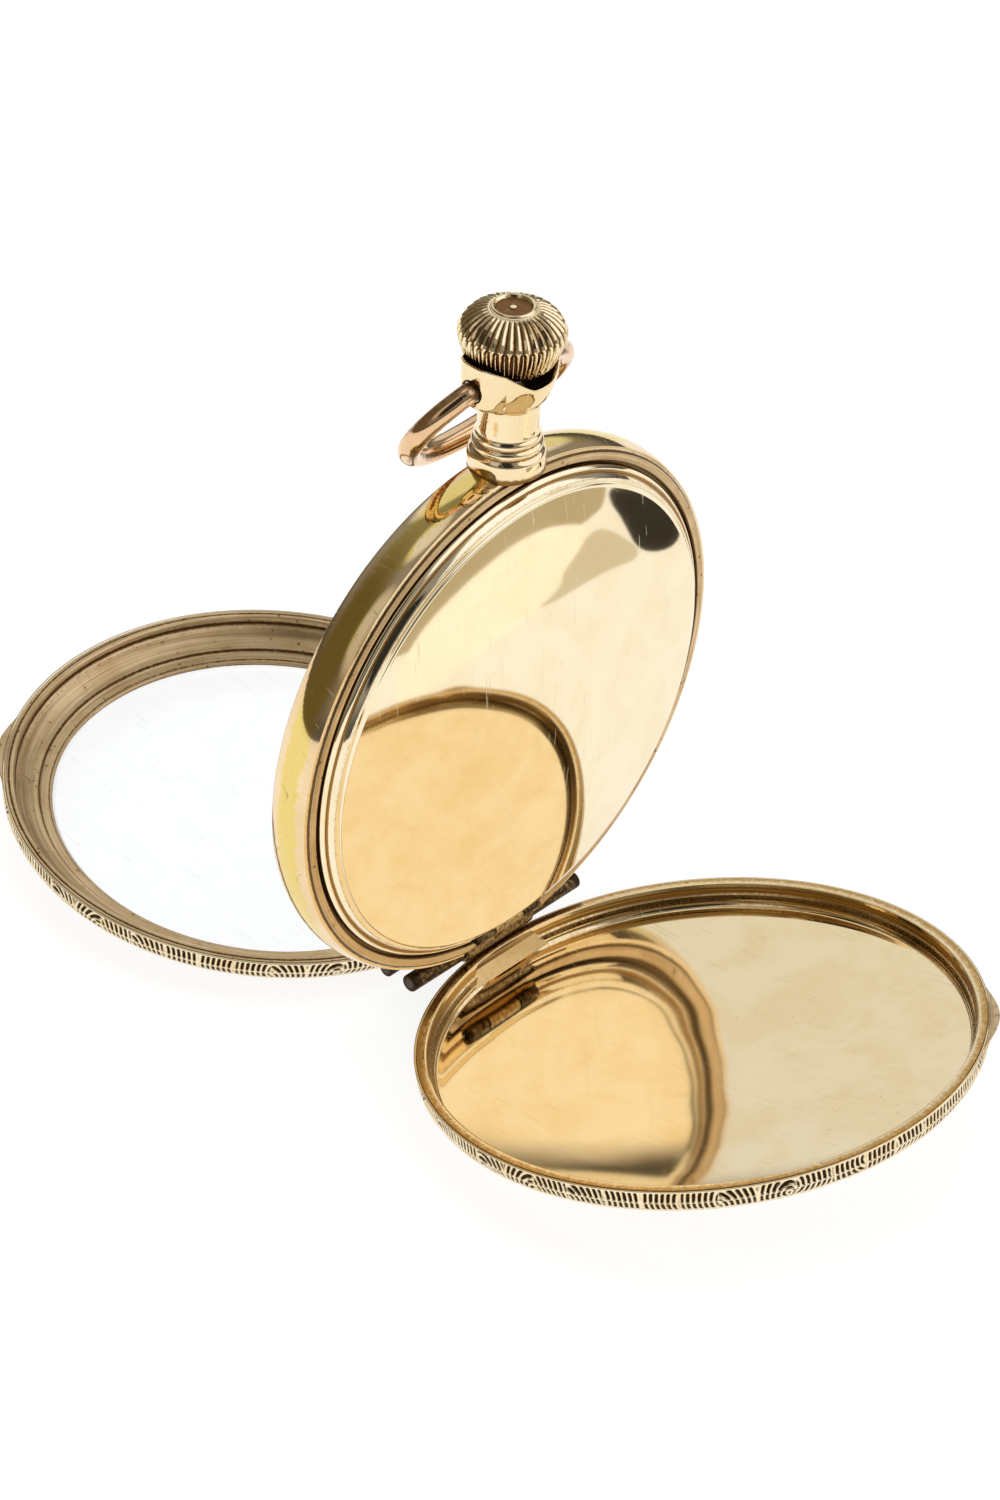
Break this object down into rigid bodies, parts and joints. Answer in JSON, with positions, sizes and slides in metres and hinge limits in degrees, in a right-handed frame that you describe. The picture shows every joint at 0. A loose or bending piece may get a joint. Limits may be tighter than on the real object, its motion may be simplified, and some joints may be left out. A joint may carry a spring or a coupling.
{
  "type": "pocket watch",
  "caption": "Stem-wound pocket watch standing on its open covers: hinged glazed bezel, hinged back cover, inner dust cover, swinging bow, ribbed crown and geared movement.",
  "frame": {"origin": "on the surface the watch stands on, midway between the far edges of its open covers", "axes": "+Z towards the pendant and crown, +Y towards the back of the watch, X along the hinge pins"},
  "size_m": [0.0572, 0.1144, 0.0774],
  "materials": {
    "case_gold": "polished yellow gold plate, aged and tarnished in its grooves",
    "rose_gold": "polished rose gold plate, worn",
    "glass": "clear mineral glass",
    "enamel": "white fired enamel with black numerals",
    "blued_steel": "heat-blued polished steel",
    "nickel": "nickel with a striped finish",
    "ruby": "red hole jewels and pallet stones",
    "gilt_brass": "gilt brass",
    "steel": "polished steel"
  },
  "bodies": {
    "case": {"case_band": "case_gold", "pendant": "case_gold", "pendant_sleeve": "nickel", "dial": "enamel", "pillar_plate": "nickel", "pillars": "nickel", "barrel_bridge": "nickel", "train_bridge": "nickel", "balance_cock": "nickel", "pallet_bridge": "nickel", "bridge_screws": "blued_steel", "case_screws": "blued_steel", "jewels": "ruby", "hairspring": "blued_steel", "crown_wheel_screw": "blued_steel", "click_screw": "blued_steel", "click_spring": "steel", "back_hinge_pin": "steel", "front_hinge_pin": "steel", "inner_hinge_pin": "steel"},
    "back_cover": {"back_cover": "case_gold"},
    "front_bezel": {"front_bezel": "case_gold", "crystal": "glass"},
    "inner_cover": {"inner_cover": "case_gold"},
    "bow": {"bow": "rose_gold"},
    "winding_arbor": {"winding_arbor": "steel"},
    "crown": {"crown": "case_gold", "crown_stem": "steel"},
    "crown_wheel": {"crown_wheel": "nickel"},
    "barrel_arbor": {"barrel_arbor": "steel", "ratchet_wheel": "nickel", "ratchet_screw": "blued_steel"},
    "barrel": {"mainspring_barrel": "gilt_brass", "mainspring": "steel"},
    "center": {"center_wheel": "gilt_brass", "cannon_pinion": "steel", "minute_hand": "blued_steel"},
    "third": {"third_wheel": "gilt_brass"},
    "fourth": {"fourth_wheel": "gilt_brass", "seconds_hand": "blued_steel"},
    "escape": {"escape_wheel": "steel"},
    "pallet": {"pallet_fork": "steel", "pallet_stones": "ruby"},
    "balance": {"balance_wheel": "gilt_brass", "balance_screws": "gilt_brass", "balance_staff": "steel", "roller_jewel": "ruby"},
    "regulator": {"regulator": "steel"},
    "click": {"click": "steel"},
    "hour": {"hour_wheel": "gilt_brass", "hour_hand": "blued_steel"},
    "minute_work": {"minute_wheel": "gilt_brass"}
  },
  "joints": [
    {"name": "back_cover_hinge", "type": "hinge", "parent": "case", "child": "back_cover", "pos_m": [0, 0.00195, 0.00398], "axis": [-1, 0, 0], "range_deg": [-78.65, 0]},
    {"name": "front_bezel_hinge", "type": "hinge", "parent": "case", "child": "front_bezel", "pos_m": [0, -0.0013, 0.00388], "axis": [1, 0, 0], "range_deg": [-85.65, 0]},
    {"name": "inner_cover_hinge", "type": "hinge", "parent": "case", "child": "inner_cover", "pos_m": [0, 0.00375, 0.00628], "axis": [-1, 0, 0], "range_deg": [0, 74]},
    {"name": "bow_swing", "type": "hinge", "parent": "case", "child": "bow", "pos_m": [0, 0.0008, 0.07018], "axis": [-1, 0, 0], "range_deg": [0, 287]},
    {"name": "crown_turn", "type": "hinge", "parent": "case", "child": "winding_arbor", "pos_m": [0, 0.0008, 0.05], "axis": [0, 0, 1], "continuous": true},
    {"name": "crown_pull", "type": "slide", "parent": "winding_arbor", "child": "crown", "axis": [0, 0, 1], "range_m": [0, 0.0012]},
    {"name": "crown_wheel_turn", "type": "hinge", "parent": "case", "child": "crown_wheel", "pos_m": [0, 0.0008, 0.04668], "axis": [0, 1, 0], "continuous": true},
    {"name": "ratchet_turn", "type": "hinge", "parent": "case", "child": "barrel_arbor", "pos_m": [-0.00746, 0.0008, 0.03859], "axis": [0, 1, 0], "continuous": true},
    {"name": "seconds_turn", "type": "hinge", "parent": "case", "child": "fourth", "pos_m": [0, 0.0008, 0.02088], "axis": [0, 1, 0], "continuous": true},
    {"name": "third_turn", "type": "hinge", "parent": "case", "child": "third", "pos_m": [0.00483, 0.0008, 0.02566], "axis": [0, 1, 0], "continuous": true},
    {"name": "center_turn", "type": "hinge", "parent": "case", "child": "center", "pos_m": [0, 0.0008, 0.03188], "axis": [0, 1, 0], "continuous": true},
    {"name": "barrel_turn", "type": "hinge", "parent": "case", "child": "barrel", "pos_m": [-0.00746, 0.0008, 0.03859], "axis": [0, 1, 0], "continuous": true},
    {"name": "escape_turn", "type": "hinge", "parent": "case", "child": "escape", "pos_m": [-0.00352, 0.0008, 0.01637], "axis": [0, 1, 0], "continuous": true},
    {"name": "minute_work_turn", "type": "hinge", "parent": "case", "child": "minute_work", "pos_m": [0.00312, 0.0008, 0.03368], "axis": [0, 1, 0], "continuous": true},
    {"name": "hour_turn", "type": "hinge", "parent": "case", "child": "hour", "pos_m": [0, 0.0008, 0.03188], "axis": [0, 1, 0], "continuous": true},
    {"name": "pallet_rock", "type": "hinge", "parent": "case", "child": "pallet", "pos_m": [-0.0063, 0.0008, 0.01925], "axis": [0, 1, 0], "range_deg": [-4, 4]},
    {"name": "balance_swing", "type": "hinge", "parent": "case", "child": "balance", "pos_m": [-0.0096, 0.0008, 0.02268], "axis": [0, 1, 0], "range_deg": [-150, 150], "stiffness_Nm_per_rad": 0.0000019},
    {"name": "regulator_set", "type": "hinge", "parent": "case", "child": "regulator", "pos_m": [-0.0096, 0.0008, 0.02268], "axis": [0, 1, 0], "range_deg": [-20, 20]},
    {"name": "click_lift", "type": "hinge", "parent": "case", "child": "click", "pos_m": [0.00124, 0.0008, 0.04079], "axis": [0, 1, 0], "range_deg": [-8, 0], "stiffness_Nm_per_rad": 0.0001, "springref_deg": 11.46}
  ],
  "couplings": [
    {"joint": "crown_wheel_turn", "follows": "crown_turn", "ratio": -0.5},
    {"joint": "ratchet_turn", "follows": "crown_turn", "ratio": 0.33333},
    {"joint": "third_turn", "follows": "seconds_turn", "ratio": -0.13333},
    {"joint": "center_turn", "follows": "seconds_turn", "ratio": 0.016667},
    {"joint": "barrel_turn", "follows": "seconds_turn", "ratio": -0.0027778},
    {"joint": "escape_turn", "follows": "seconds_turn", "ratio": -10},
    {"joint": "minute_work_turn", "follows": "seconds_turn", "ratio": -0.0055556},
    {"joint": "hour_turn", "follows": "seconds_turn", "ratio": 0.0013889}
  ]
}
